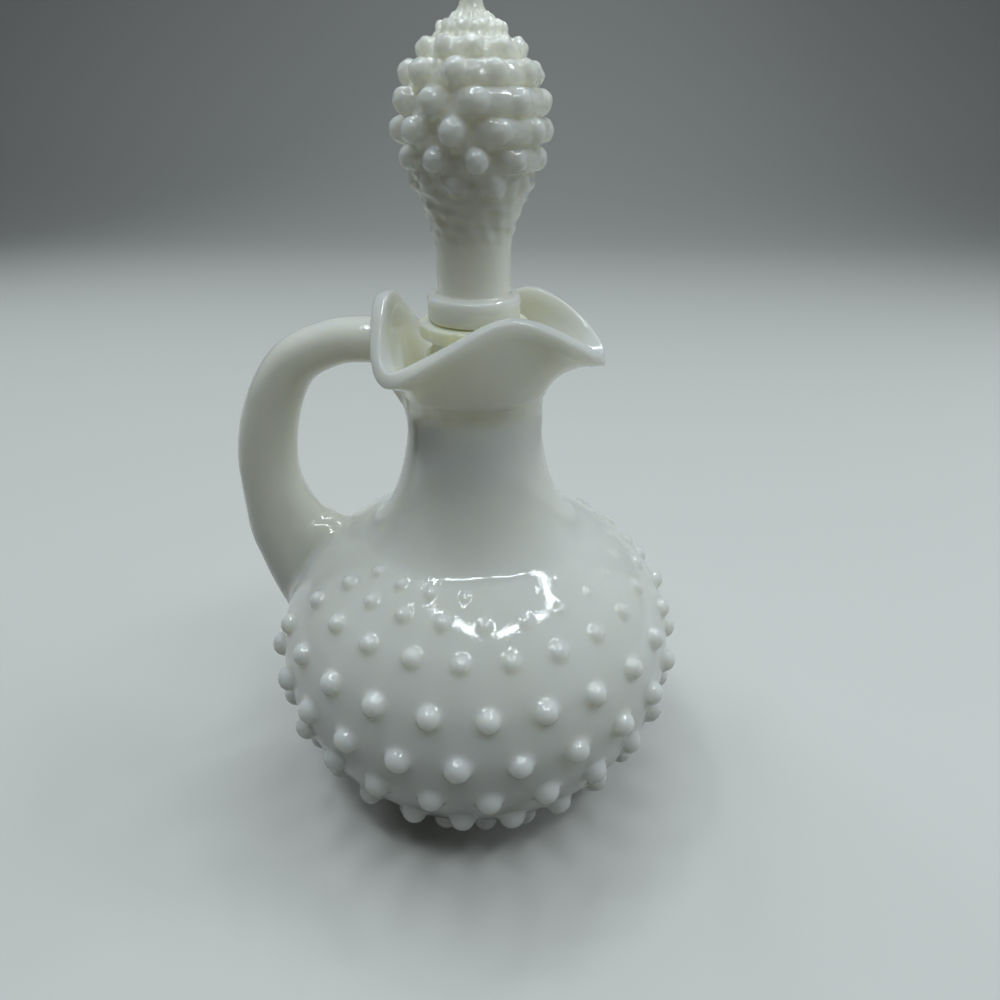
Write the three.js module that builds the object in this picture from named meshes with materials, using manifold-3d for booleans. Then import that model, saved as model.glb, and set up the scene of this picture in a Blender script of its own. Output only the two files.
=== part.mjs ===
// Milk-glass hobnail cruet: a hollow globe set with rounded nails, a plain neck, a lip ruffled into three
// folds with a spout, and a C handle. A hobnail glass stopper sits in a ribbed plastic sleeve that plugs the
// neck. Millimetres, +Z up. The foot stands on z = 0 and the neck is on the Z axis. The spout points along +X
// and the handle along -X.

import * as THREE from 'three';
import { mergeGeometries, mergeVertices } from 'three/addons/utils/BufferGeometryUtils.js';
import Module from 'manifold-3d';

const wasm = await Module();
wasm.setup();

// Globe and foot
const GLOBE_RADIUS = 39.4;
const GLOBE_RISE = 29.5;
const GLOBE_DROP = 36.4;
const GLOBE_WALL = 3.8;
const FOOT_RADIUS = 20.5;
const FOOT_RIM = 3;
const FOOT_FLARE = 0.6;
const FOOT_HEIGHT = 2.3;
const PUNT_DEPTH = 0.8;
const FLOOR_HEIGHT = 5.2;

// Neck and shoulder. The two middle points of the sweep between them are shares of its reach and its rise.
const NECK_TOP = 86;
const NECK_RADIUS = 12.2;
const NECK_STRAIGHT = 8;
const SHOULDER_RADIUS = 21;
const SWEEP_LOW = { reach: 0.45, rise: 0.22 };
const SWEEP_HIGH = { reach: 0.04, rise: 0.58 };

// Bore of the neck, which narrows downwards and then opens into the hollow at a place on the globe
const BORE_TOP_RADIUS = 9.4;
const BORE_LOW_RADIUS = 8.6;
const BORE_LENGTH = 18;
const HOLLOW_TOP = 0.868;

// Lip, above the neck's top: three low lobes, the first one the spout, and three raised folds between them.
// BACK_FOLD and the two sizes of the spout are what the fold at the handle and the spout are larger by.
const LIP_STEP = 0.6;
const LIP_WALL = 2.4;
const LOW_RIM = { radius: 17.3, rise: 4 };
const FOLD_RIM = { radius: 14.5, rise: 15 };
const LOW_BELLY = { radius: 14, rise: 2.8 };
const FOLD_BELLY = { radius: 20.5, rise: 9 };
const BACK_FOLD = { radius: 2, rise: 0.1 };
const BACK_SHARPNESS = 2;
const SPOUT_RIM = { radius: 4.8, rise: 1.7 };
const SPOUT_BELLY = { radius: 0.6, rise: 2.2 };
const SPOUT_SHARPNESS = 4;
const SPOUT_CHANNEL = 0.35;
const SPOUT_THINNING = 0.3;
const FOLDS = 3;
const FOLD_SKEW = THREE.MathUtils.degToRad(8.9);
const VALLEY_WIDTH = 0.33;

// Rows of nails on the globe: their places from the foot (0) to the shoulder (1), and the radius of their
// nails. Every other row is half a step round.
const NAIL_ROWS = [
  { place: 0.13, nail: 2.6 }, { place: 0.26, nail: 2.7 }, { place: 0.39, nail: 2.7 },
  { place: 0.515, nail: 2.7 }, { place: 0.66, nail: 2.4 }, { place: 0.8, nail: 1.9 },
  { place: 0.895, nail: 1.5 }, { place: 0.963, nail: 1.15 },
];
const NAILS_ROUND = 24;
const NAIL_RISE = 0.8;

// Handle, in the plane of the spout. It leaves the lip at its head, bows outwards and lands on the globe. The
// bow's places run from the head (0) down to the landing (1). Its half depth and width are given three times.
// Webs of glass fill out its inner side at both ends. There are no nails behind it.
const HANDLE_HEAD = { rise: 7.4, root: 11, reach: 19.5 };
const HANDLE_BOW = [
  { out: 26, place: 0.023 }, { out: 33.9, place: 0.12 }, { out: 39.3, place: 0.32 },
  { out: 41.9, place: 0.578 }, { out: 40.6, place: 0.842 },
];
const HANDLE_LANDING = { height: 48.5, outside: 3.8 };
const HANDLE_ROOT = { height: 36.5, inside: 9.5 };
const HANDLE_TOP = { depth: 4, width: 4.6 };
const HANDLE_GRIP = { depth: 6, width: 5.4 };
const HANDLE_FOOT = { depth: 12, width: 7.2 };
const GRIP_SWELL = { from: 0.12, to: 0.67 };
const FOOT_SPREAD = { from: 0.6, to: 1 };
const HEAD_WEB = { depth: 11.2, to: 0.19 };
const FOOT_WEB = 4.5;
const HANDLE_SEAM = 0.3;
const HANDLE_CLEAR = { side: 14.6, above: 30 };

// Stopper, from its seat at the collar's underside: a peg below, and a shank and hobnail finial above
const PEG_RADIUS = 5.4;
const PEG_TIP_RADIUS = 4.6;
const PEG_LENGTH = 30;
const COLLAR_RADIUS = 7.9;
const COLLAR_HEIGHT = 4.4;
const COLLAR_BEVEL = 0.4;
const SHANK_RADIUS = 6.1;
const CONE_START = 10.4;
const CONE_SHARPNESS = 0.8;
const FINIAL_RADIUS = 10.1;
const FINIAL_MID = 28.9;
const FINIAL_TOP = 44.9;
const FINIAL_FULLNESS = 2.3;
const KNOB_RADIUS = 1.4;
const KNOB_HEIGHT = 4;
const TIERS = 8;
const TIERS_FROM = 7.5;
const TIERS_TO = 3.5;
const TIER_EDGE = 4.5;
const TIER_FADE = { from: -0.4, to: 3 };
const TIER_NAILS = 10;
const TIER_NAIL_FILL = 0.92;
const TIER_NAIL_HEIGHT = 2.3;

// Plastic sleeve between the peg and the bore, with its fins' places below the seat
const PLUG_RISE = 12.1;
const PLUG_TURN = THREE.MathUtils.degToRad(-2.7);
const SLEEVE_LENGTH = 31;
const SLEEVE_WALL = 1.7;
const FLANGE_RADIUS = 9.3;
const FLANGE_HEIGHT = 2.4;
const FLANGE_BEVEL = 0.4;
const UPPER_FIN = { depth: 6.2, radius: 8.8 };
const BORE_FINS = [16, 21, 26];
const FIN_ROOT = 1.3;
const FIN_TIP = 0.6;
const PEG_CLEARANCE = 0.2;
const SEAT_CLEARANCE = 0.1;
const BORE_CLEARANCE = 0.15;

// Facets
const COLUMNS = 2 * NAILS_ROUND;
const STOPPER_COLUMNS = 2 * TIER_NAILS;
const SWEEP_STEPS = 6;
const HOLLOW_STEPS = 4;
const ENVELOPE_STEPS = 24;
const TIER_STEPS = 40;
const KNOB_STEPS = 2;
const LIP_STEPS = 5;
const RIM_STEPS = 4;
const SLOPE_STEP = 0.5;
const DOME_LEVELS = [0, 0.24 * Math.PI];
const HANDLE_SIDES = 16;
const HANDLE_STEPS = 26;

const materials = {
  opal: new THREE.MeshStandardMaterial({ color: 0xe4e6df, roughness: 0.08, metalness: 0 }),
  plastic: new THREE.MeshStandardMaterial({ color: 0xcfc486, roughness: 0.45, metalness: 0 }),
};

// A closed solid from a geometry whose faces share their corners. Faces that shrink to a line are left out.
function solid(geometry) {
  const plain = geometry.clone();
  plain.deleteAttribute('normal');
  plain.deleteAttribute('uv');
  const merged = mergeVertices(plain);
  const corners = merged.index.array;
  const faces = [];
  for (let i = 0; i < corners.length; i += 3) {
    const [a, b, c] = [corners[i], corners[i + 1], corners[i + 2]];
    if (a !== b && b !== c && c !== a) faces.push(a, b, c);
  }
  const vertProperties = new Float32Array(merged.getAttribute('position').array);
  return new wasm.Manifold(new wasm.Mesh({ numProp: 3, vertProperties, triVerts: new Uint32Array(faces) }));
}

function mesh(name, body, material) {
  const { vertProperties, triVerts } = body.getMesh();
  const geometry = new THREE.BufferGeometry();
  geometry.setAttribute('position', new THREE.BufferAttribute(new Float32Array(vertProperties), 3));
  geometry.setIndex(new THREE.BufferAttribute(new Uint32Array(triVerts), 1));
  geometry.computeVertexNormals();
  const result = new THREE.Mesh(geometry, material);
  result.name = name;
  return result;
}

function columnAngle(column, columns) {
  return (2 * Math.PI * ((column + columns) % columns)) / columns;
}

function onColumn(column, columns, [r, z]) {
  const angle = columnAngle(column, columns);
  return new THREE.Vector3(r * Math.cos(angle), r * Math.sin(angle), z);
}

// A skin turned about Z whose outline may change with the angle. outline(angle) gives [radius, height]
// points, always as many.
function turned(outline, columns) {
  const count = outline(0).length;
  const lathe = new THREE.LatheGeometry(outline(0).map(([r, z]) => new THREE.Vector2(r, z)), columns);
  const position = lathe.getAttribute('position');
  for (let column = 0; column <= columns; column++) {
    outline(columnAngle(column, columns)).forEach((point, i) => {
      position.setXYZ(column * count + i, ...onColumn(column, columns, point));
    });
  }
  return lathe;
}

function range(count) {
  return Array.from({ length: count }, (_, i) => i);
}

function turnAt(radius) {
  return Math.acos(radius / GLOBE_RADIUS);
}

// The globe is two half-ellipses that meet at its widest height
function globeMid() {
  return FOOT_HEIGHT + GLOBE_DROP * Math.sin(turnAt(FOOT_RADIUS + FOOT_FLARE));
}

function globeRadiusAt(height, wall = 0) {
  const above = height - globeMid();
  const half = (above > 0 ? GLOBE_RISE : GLOBE_DROP) - wall;
  return (GLOBE_RADIUS - wall) * Math.sqrt(1 - (above / half) ** 2);
}

// The height of a place on the globe, from the top of the foot (0) to the shoulder (1)
function globeHeight(place) {
  const turn = THREE.MathUtils.lerp(-turnAt(FOOT_RADIUS + FOOT_FLARE), turnAt(SHOULDER_RADIUS), place);
  return globeMid() + (turn > 0 ? GLOBE_RISE : GLOBE_DROP) * Math.sin(turn);
}

// The hollow sweep between the shoulder and a straight neck or bore, without its two ends
function shoulderSweep(shoulder, neck) {
  const middle = ({ reach, rise }) => new THREE.Vector2(
    THREE.MathUtils.lerp(neck[0], shoulder[0], reach),
    THREE.MathUtils.lerp(shoulder[1], neck[1], rise),
  );
  const curve = new THREE.CubicBezierCurve(
    new THREE.Vector2(...shoulder), middle(SWEEP_LOW), middle(SWEEP_HIGH), new THREE.Vector2(...neck),
  );
  return curve.getPoints(SWEEP_STEPS).slice(1, -1).map((p) => [p.x, p.y]);
}

function boreRadius(height) {
  return THREE.MathUtils.lerp(BORE_TOP_RADIUS, BORE_LOW_RADIUS, (NECK_TOP - height) / BORE_LENGTH);
}

// How far a place round the lip belongs to a fold (1) or a low lobe (0), to the spout and to the fold at the
// handle. The low lobes are narrower than the folds.
function lipShares(angle) {
  const wave = Math.sin((FOLDS / 2) * (angle + FOLD_SKEW * Math.sin(2 * angle)));
  const fold = (Math.hypot(wave, VALLEY_WIDTH) - VALLEY_WIDTH) / (Math.hypot(1, VALLEY_WIDTH) - VALLEY_WIDTH);
  const spout = Math.max(0, Math.cos(angle)) ** SPOUT_SHARPNESS;
  const back = Math.max(0, -Math.cos(angle)) ** BACK_SHARPNESS;
  return { fold: fold * (1 - SPOUT_CHANNEL * spout), spout, back };
}

// The lip's outer curve at an angle, from the neck to the rim
function lipCurve(angle) {
  const { fold, spout, back } = lipShares(angle);
  const place = (low, high, extra) => new THREE.Vector2(
    THREE.MathUtils.lerp(low.radius, high.radius, fold) + extra.radius,
    NECK_TOP + THREE.MathUtils.lerp(low.rise, high.rise, fold) + extra.rise,
  );
  const more = { radius: SPOUT_BELLY.radius * spout, rise: SPOUT_BELLY.rise * spout };
  const moreRim = {
    radius: SPOUT_RIM.radius * spout + BACK_FOLD.radius * back,
    rise: SPOUT_RIM.rise * spout + BACK_FOLD.rise * back,
  };
  return new THREE.QuadraticBezierCurve(
    new THREE.Vector2(NECK_RADIUS + LIP_STEP, NECK_TOP),
    place(LOW_BELLY, FOLD_BELLY, more),
    place(LOW_RIM, FOLD_RIM, moreRim),
  );
}

// Points of the lip's section: up the outer side, round the rim and down the inner side. The glass is thinner
// at the spout.
function lipOutline(angle) {
  const curve = lipCurve(angle);
  const wall = LIP_WALL * (1 - SPOUT_THINNING * lipShares(angle).spout);
  const inwards = (t) => {
    const along = curve.getTangent(t);
    return new THREE.Vector2(-along.y, along.x);
  };
  const offset = (t, distance) => curve.getPoint(t).addScaledVector(inwards(t), distance);
  const steps = range(LIP_STEPS + 1).map((i) => i / LIP_STEPS);
  const outer = steps.map((t) => offset(t, 0));
  const inner = steps.slice().reverse().map((t) => offset(t, wall));
  const middle = offset(1, wall / 2);
  const rim = range(RIM_STEPS - 1).map((i) => {
    const turn = (Math.PI * (i + 1)) / RIM_STEPS;
    return middle.clone()
      .addScaledVector(inwards(1), (-wall / 2) * Math.cos(turn))
      .addScaledVector(curve.getTangent(1), (wall / 2) * Math.sin(turn));
  });
  const pair = (p) => [p.x, p.y];
  return { outer: outer.map(pair), rim: rim.map(pair), inner: inner.map(pair) };
}

// The foot, from the middle of its hollow underside to the lowest nails
function footOutline() {
  return [
    [0, PUNT_DEPTH], [FOOT_RADIUS - FOOT_RIM - PUNT_DEPTH, PUNT_DEPTH], [FOOT_RADIUS - FOOT_RIM, 0],
    [FOOT_RADIUS, 0], [globeRadiusAt(globeHeight(0)), globeHeight(0)],
  ];
}

// The bare glass from the shoulder to the top of the neck
function neckOutline() {
  const shoulder = [globeRadiusAt(globeHeight(1)), globeHeight(1)];
  const neckLow = [NECK_RADIUS, NECK_TOP - NECK_STRAIGHT];
  return [shoulder, ...shoulderSweep(shoulder, neckLow), neckLow, [NECK_RADIUS, NECK_TOP]];
}

// The bore and the hollow, from the top of the neck to the middle of the floor
function hollowOutline() {
  const boreLow = [BORE_LOW_RADIUS, NECK_TOP - BORE_LENGTH];
  const top = globeHeight(HOLLOW_TOP);
  const arc = (to) => range(HOLLOW_STEPS + 1).map((i) => {
    const height = THREE.MathUtils.lerp(globeMid(), to, Math.sin((Math.PI / 2) * (i / HOLLOW_STEPS)));
    return [globeRadiusAt(height, GLOBE_WALL), height];
  });
  const above = arc(top).reverse();
  const below = arc(FLOOR_HEIGHT).slice(1);
  const sweep = shoulderSweep(above[0], boreLow).reverse();
  return [[BORE_TOP_RADIUS, NECK_TOP], boreLow, ...sweep, ...above, ...below, [0, FLOOR_HEIGHT]];
}

// Heights of the corners round the cells of a nail field, whose rows are staggered. The corners straight
// above and below a nail lie nearer the next row than those beside it, so the cells are hexagons that share
// their sides.
function cellEdge(rows, edges, row, above, beside) {
  const next = above ? row + 1 : row - 1;
  if (next < 0) return edges.low;
  if (next === rows.length) return edges.high;
  return THREE.MathUtils.lerp(rows[row], rows[next], beside ? 1 / 3 : 2 / 3);
}

// A skin of nails between two edges of a turned body. Each nail is a low dome in the middle of its cell.
function nailField({ rows, edges, count, radiusAt, nailSize, keep }) {
  const columns = 2 * count;
  const corners = [];
  const strip = (outer, inner) => outer.forEach((point, i) => {
    const next = (i + 1) % outer.length;
    corners.push(point, outer[next], inner[next], point, inner[next], inner[i]);
  });
  rows.forEach((height, row) => {
    const radius = radiusAt(height);
    const slope = (radiusAt(height + SLOPE_STEP) - radiusAt(height - SLOPE_STEP)) / (2 * SLOPE_STEP);
    const size = nailSize(row, radius);
    const edgeAt = (above, beside) => {
      const edge = cellEdge(rows, edges, row, above, beside);
      return [radiusAt(edge), edge];
    };
    for (let column = row % 2; column < columns; column += 2) {
      const angle = columnAngle(column, columns);
      const outward = new THREE.Vector3(Math.cos(angle), Math.sin(angle), -slope).normalize();
      const east = new THREE.Vector3(-Math.sin(angle), Math.cos(angle), 0);
      const up = new THREE.Vector3().crossVectors(outward, east);
      const foot = onColumn(column, columns, [radius, height]);
      const cell = [
        [-1, false], [0, false], [1, false], [1, true], [0, true], [-1, true],
      ].map(([side, above]) => onColumn(column + side, columns, edgeAt(above, side !== 0)));
      const ring = (level) => cell.map((_, i) => {
        const turn = (Math.PI * (7 + 2 * i)) / 6;
        return foot.clone()
          .addScaledVector(east, size.radius * Math.cos(level) * Math.cos(turn))
          .addScaledVector(up, size.radius * Math.cos(level) * Math.sin(turn))
          .addScaledVector(outward, size.height * Math.sin(level));
      });
      const loops = keep(foot) ? [cell, ...DOME_LEVELS.map(ring)] : [cell];
      const top = foot.clone().addScaledVector(outward, keep(foot) ? size.height : 0);
      loops.slice(1).forEach((loop, i) => strip(loops[i], loop));
      strip(loops.at(-1), cell.map(() => top));
    }
  });
  return new THREE.BufferGeometry().setFromPoints(corners);
}

function joined(...skins) {
  return solid(mergeGeometries(skins.map((skin) => {
    const plain = skin.index ? skin.toNonIndexed() : skin;
    plain.deleteAttribute('normal');
    plain.deleteAttribute('uv');
    return plain;
  })));
}

function globeNails() {
  const behindHandle = ({ x, y, z }) => (
    x < 0 && Math.abs(y) < HANDLE_CLEAR.side && z > HANDLE_CLEAR.above
  );
  return nailField({
    rows: NAIL_ROWS.map(({ place }) => globeHeight(place)),
    edges: { low: globeHeight(0), high: globeHeight(1) },
    count: NAILS_ROUND,
    radiusAt: (height) => globeRadiusAt(height),
    nailSize: (row) => ({ radius: NAIL_ROWS[row].nail, height: NAIL_ROWS[row].nail * NAIL_RISE }),
    keep: (foot) => !behindHandle(foot),
  });
}

function bottle() {
  const inside = turned((angle) => {
    const lip = lipOutline(angle);
    return [...neckOutline(), ...lip.outer, ...lip.rim, ...lip.inner, ...hollowOutline()];
  }, COLUMNS);
  return joined(turned(() => footOutline(), COLUMNS), globeNails(), inside);
}

// An outline that runs up the outside of a body, moved outwards by a distance
function moved(outline, distance) {
  return outline.map(([r, z], i) => {
    const before = outline[Math.max(i - 1, 0)];
    const after = outline[Math.min(i + 1, outline.length - 1)];
    const outward = new THREE.Vector2(after[1] - before[1], before[0] - after[0]).setLength(distance);
    return [r + outward.x, z + outward.y];
  });
}

// The room that the bottle's bare outside takes above its foot, filled in and grown by a seam
function bottleEnvelope(seam) {
  const lowest = globeHeight(0);
  const globe = range(ENVELOPE_STEPS).map((i) => {
    const height = globeHeight(i / ENVELOPE_STEPS);
    return [globeRadiusAt(height), height];
  });
  return solid(turned((angle) => {
    const lip = lipOutline(angle);
    const skin = moved([...globe, ...neckOutline(), ...lip.outer, ...lip.rim], seam);
    return [[0, lowest], ...skin, [0, skin.at(-1)[1]]];
  }, COLUMNS));
}

// The handle's centre line, with x outwards along the spout and y up
function handleLine() {
  const head = NECK_TOP + HANDLE_HEAD.rise;
  return [
    new THREE.Vector2(-HANDLE_HEAD.root, head),
    new THREE.Vector2(-HANDLE_HEAD.reach, head),
    ...HANDLE_BOW.map(({ out, place }) => (
      new THREE.Vector2(-out, THREE.MathUtils.lerp(head, HANDLE_LANDING.height, place))
    )),
    new THREE.Vector2(-globeRadiusAt(HANDLE_LANDING.height) - HANDLE_LANDING.outside, HANDLE_LANDING.height),
    new THREE.Vector2(-globeRadiusAt(HANDLE_ROOT.height) + HANDLE_ROOT.inside, HANDLE_ROOT.height),
  ];
}

// The handle's half width and its depth to both sides of its centre line, from the lip (0) to the globe (1)
function handleSize(t) {
  const swell = THREE.MathUtils.smoothstep(t, GRIP_SWELL.from, GRIP_SWELL.to);
  const spread = THREE.MathUtils.smoothstep(t, FOOT_SPREAD.from, FOOT_SPREAD.to);
  const mix = (key) => {
    const grip = THREE.MathUtils.lerp(HANDLE_TOP[key], HANDLE_GRIP[key], swell);
    return THREE.MathUtils.lerp(grip, HANDLE_FOOT[key], spread);
  };
  const web = HEAD_WEB.depth * Math.max(0, 1 - t / HEAD_WEB.to) ** 2 + FOOT_WEB * spread;
  return { outer: mix('depth'), inner: mix('depth') + web, width: mix('width') };
}

function handle() {
  const line = new THREE.SplineCurve(handleLine());
  const bar = new THREE.CylinderGeometry(1, 1, 1, HANDLE_SIDES, HANDLE_STEPS);
  const position = bar.getAttribute('position');
  for (let i = 0; i < position.count; i++) {
    const t = THREE.MathUtils.clamp(0.5 + position.getY(i), 0, 1);
    const { outer, inner, width } = handleSize(t);
    const centre = line.getPointAt(t);
    const along = line.getTangentAt(t);
    const side = position.getX(i);
    const inwards = new THREE.Vector2(-along.y, along.x).multiplyScalar(side * (side > 0 ? inner : outer));
    position.setXYZ(i, centre.x + inwards.x, width * position.getZ(i), centre.y + inwards.y);
  }
  return solid(bar).subtract(bottleEnvelope(HANDLE_SEAM));
}

// Half the finial's width at a height: a cone that opens from the shank into an egg
function finialRadius(height) {
  if (height < FINIAL_MID) {
    const share = THREE.MathUtils.smootherstep(height, CONE_START, FINIAL_MID);
    return THREE.MathUtils.lerp(SHANK_RADIUS, FINIAL_RADIUS, share ** CONE_SHARPNESS);
  }
  const share = (height - FINIAL_MID) / (FINIAL_TOP - FINIAL_MID);
  return FINIAL_RADIUS * (1 - share ** FINIAL_FULLNESS);
}

// Heights of the finial's tiers of nails, evenly spaced along its outline, and the distance between two tiers
function finialTiers() {
  const outline = new THREE.SplineCurve(range(TIER_STEPS + 1).map((i) => {
    const height = THREE.MathUtils.lerp(CONE_START + TIERS_FROM, FINIAL_TOP - TIERS_TO, i / TIER_STEPS);
    return new THREE.Vector2(finialRadius(height), height);
  }));
  const spaces = TIERS - 1;
  return { heights: outline.getSpacedPoints(spaces).map((p) => p.y), pitch: outline.getLength() / spaces };
}

function pegRadius(height) {
  return THREE.MathUtils.lerp(PEG_RADIUS, PEG_TIP_RADIUS, -height / PEG_LENGTH);
}

// The stopper below its nails, from the tip of the peg over the collar's two beads and the shank
function pegOutline(top) {
  const bead = COLLAR_HEIGHT / 4;
  return [
    [0, -PEG_LENGTH], [PEG_TIP_RADIUS, -PEG_LENGTH], [PEG_RADIUS, 0], [COLLAR_RADIUS - COLLAR_BEVEL, 0],
    [COLLAR_RADIUS, bead], [COLLAR_RADIUS - COLLAR_BEVEL, 2 * bead], [COLLAR_RADIUS, 3 * bead],
    [SHANK_RADIUS + COLLAR_BEVEL, COLLAR_HEIGHT], [SHANK_RADIUS, CONE_START], [finialRadius(top), top],
  ];
}

// The top of the stopper above its nails, up to the round end of the small knob
function knobOutline(start) {
  const middle = FINIAL_TOP + KNOB_HEIGHT - KNOB_RADIUS;
  const end = range(KNOB_STEPS + 1).map((i) => {
    const turn = (Math.PI / 2) * (i / KNOB_STEPS);
    return [i === KNOB_STEPS ? 0 : KNOB_RADIUS * Math.cos(turn), middle + KNOB_RADIUS * Math.sin(turn)];
  });
  return [[finialRadius(start), start], [KNOB_RADIUS, FINIAL_TOP], ...end];
}

function stopper() {
  const { heights, pitch } = finialTiers();
  const edges = { low: heights[0] - TIER_EDGE, high: FINIAL_TOP - TIERS_TO / 2 };
  const nailSize = (row, radius) => {
    const swell = THREE.MathUtils.smoothstep(row, TIER_FADE.from, TIER_FADE.to);
    return {
      radius: TIER_NAIL_FILL * Math.min((Math.PI * radius) / TIER_NAILS, (2 * pitch) / 3),
      height: (TIER_NAIL_HEIGHT * swell * radius) / FINIAL_RADIUS,
    };
  };
  const nails = nailField({
    rows: heights, edges, count: TIER_NAILS, radiusAt: finialRadius, nailSize, keep: () => true,
  });
  const below = turned(() => pegOutline(edges.low), STOPPER_COLUMNS);
  return joined(below, nails, turned(() => knobOutline(edges.high), STOPPER_COLUMNS));
}

// One thin fin on the sleeve's outside, from below to above
function fin(height, radius) {
  const core = pegRadius(height) + PEG_CLEARANCE + SLEEVE_WALL;
  return [
    [core, height - FIN_ROOT / 2], [radius, height - FIN_TIP / 2],
    [radius, height + FIN_TIP / 2], [core, height + FIN_ROOT / 2],
  ];
}

// The sleeve, in the stopper's own heights
function sleeve() {
  const top = -SEAT_CLEARANCE;
  const bottom = top - SLEEVE_LENGTH;
  const flangeLow = top - FLANGE_HEIGHT;
  const inside = (height) => pegRadius(height) + PEG_CLEARANCE;
  const outside = (height) => inside(height) + SLEEVE_WALL;
  const fins = BORE_FINS.slice().reverse().flatMap((depth) => (
    fin(-depth, boreRadius(NECK_TOP + PLUG_RISE - depth) - BORE_CLEARANCE)
  ));
  const outline = [
    [inside(bottom), bottom], [outside(bottom), bottom], ...fins, ...fin(-UPPER_FIN.depth, UPPER_FIN.radius),
    [outside(flangeLow), flangeLow], [FLANGE_RADIUS, flangeLow + FLANGE_BEVEL],
    [FLANGE_RADIUS, top - FLANGE_BEVEL], [FLANGE_RADIUS - FLANGE_BEVEL, top],
    [inside(top), top], [inside(bottom), bottom],
  ];
  return solid(turned(() => outline, STOPPER_COLUMNS));
}

const plug = new THREE.Group();
plug.position.z = NECK_TOP + PLUG_RISE;
plug.rotation.z = PLUG_TURN;
plug.add(
  mesh('stopper', stopper(), materials.opal),
  mesh('stopper_sleeve', sleeve(), materials.plastic),
);

const cruet = new THREE.Group();
cruet.add(
  mesh('bottle', bottle(), materials.opal),
  mesh('handle', handle(), materials.opal),
  plug,
);

export default cruet;
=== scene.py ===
# Milk-glass hobnail cruet with its stopper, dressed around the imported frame. Sizes are in millimetres and
# become metres where a mesh, a lamp or a camera is made. The spout points along +X and the handle along -X.

import math

import bpy
import numpy as np
from mathutils import Matrix, Vector, kdtree


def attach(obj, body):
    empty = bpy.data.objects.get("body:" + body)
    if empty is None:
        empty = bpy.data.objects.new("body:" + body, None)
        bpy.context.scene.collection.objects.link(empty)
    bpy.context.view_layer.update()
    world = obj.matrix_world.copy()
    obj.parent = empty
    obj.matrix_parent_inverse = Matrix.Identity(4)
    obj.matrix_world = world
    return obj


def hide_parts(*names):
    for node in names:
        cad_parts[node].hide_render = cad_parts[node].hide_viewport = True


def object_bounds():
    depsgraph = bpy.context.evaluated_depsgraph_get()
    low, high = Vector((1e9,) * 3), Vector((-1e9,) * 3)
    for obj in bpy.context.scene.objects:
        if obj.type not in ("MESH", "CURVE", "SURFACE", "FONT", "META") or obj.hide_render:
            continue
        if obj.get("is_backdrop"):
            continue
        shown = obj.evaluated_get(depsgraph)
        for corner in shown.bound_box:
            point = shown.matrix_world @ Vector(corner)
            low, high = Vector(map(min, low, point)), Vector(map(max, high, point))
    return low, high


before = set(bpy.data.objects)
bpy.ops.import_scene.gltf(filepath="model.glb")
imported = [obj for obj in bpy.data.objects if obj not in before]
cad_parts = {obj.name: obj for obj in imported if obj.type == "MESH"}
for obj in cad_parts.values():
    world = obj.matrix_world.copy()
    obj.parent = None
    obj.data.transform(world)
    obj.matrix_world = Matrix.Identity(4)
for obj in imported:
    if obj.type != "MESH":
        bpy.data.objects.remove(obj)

cad_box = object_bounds()
MM = 0.001

# Globe and foot. The globe's upper and lower halves rise and drop from its widest height.
GLOBE_RADIUS = 39.4
GLOBE_RISE = 29.5
GLOBE_DROP = 36.4
GLOBE_WALL = 3.8
FOOT_RADIUS = 20.5
FOOT_RIM = 3
FOOT_FLARE = 0.6
FOOT_HEIGHT = 2.3
FOOT_SOFTNESS = 0.8
PUNT_DEPTH = 0.8
FLOOR_HEIGHT = 5.2
FLOOR_RADIUS = 4

# Neck and shoulder, whose sweep is steered by two pairs of shares of its reach and its rise, and the bore
NECK_TOP = 86
NECK_RADIUS = 12.2
NECK_STRAIGHT = 8
SHOULDER_RADIUS = 20.5
SWEEP_LOW = (0.46, 0.17)
SWEEP_HIGH = (0.1, 0.6)
BORE_TOP_RADIUS = 9.4
BORE_LOW_RADIUS = 8.6
BORE_LENGTH = 18
HOLLOW_TOP = 0.868  # place on the globe, from the foot (0) to the shoulder (1)

# Lip: the rim and the belly of its low lobes and of its raised folds, as (radius, height above the neck's
# top), and what the back fold and the spout add to them
LIP_STEP = 0.6
LIP_WALL = 2.4
LOW_RIM = (17.3, 4)
FOLD_RIM = (14.5, 15)
LOW_BELLY = (14, 2.8)
FOLD_BELLY = (15.2, 8)
BACK_FOLD = (2, 0.1)
BACK_SHARPNESS = 2
SPOUT_RIM = (4.8, 1.7)
SPOUT_BELLY = (0.6, 2.2)
SPOUT_SHARPNESS = 4
SPOUT_CHANNEL = 0.35
SPOUT_THINNING = 0.3
FOLDS = 3
FOLD_SKEW = math.radians(8.9)
VALLEY_WIDTH = 0.33
RIM_SQUARENESS = 0.5
RIM_BULGE = 0.55
RIM_BEAD = 0.15
RIM_BEAD_DEPTH = (1.7, 2.5)

# Rows of nails on the globe, as (place from the foot (0) to the shoulder (1), radius)
NAIL_ROWS = [
    (0.13, 2.6), (0.26, 2.7), (0.39, 2.7), (0.515, 2.7), (0.66, 2.4), (0.8, 1.9), (0.895, 1.5), (0.963, 1.15),
]
NAILS_ROUND = 24
NAIL_SPREAD = 0.05

# Shape of a nail, as shares of its radius: a ball that is cut off where it gets this steep, with a fillet
# round its foot
NAIL_RISE = 0.8
NAIL_STEEPNESS = math.radians(78)
NAIL_BALL = 0.86
NAIL_FILLET = 0.26

# How far each row is melted away where its nails are worn, and where that part begins and ends
WORN_FROM = (math.radians(-95), math.radians(-70))
WORN_TO = (math.radians(145), math.radians(165))
WORN_SHARES = [0, 0, 0, 0, 0, 0.35, 0.7, 0.95]

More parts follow.
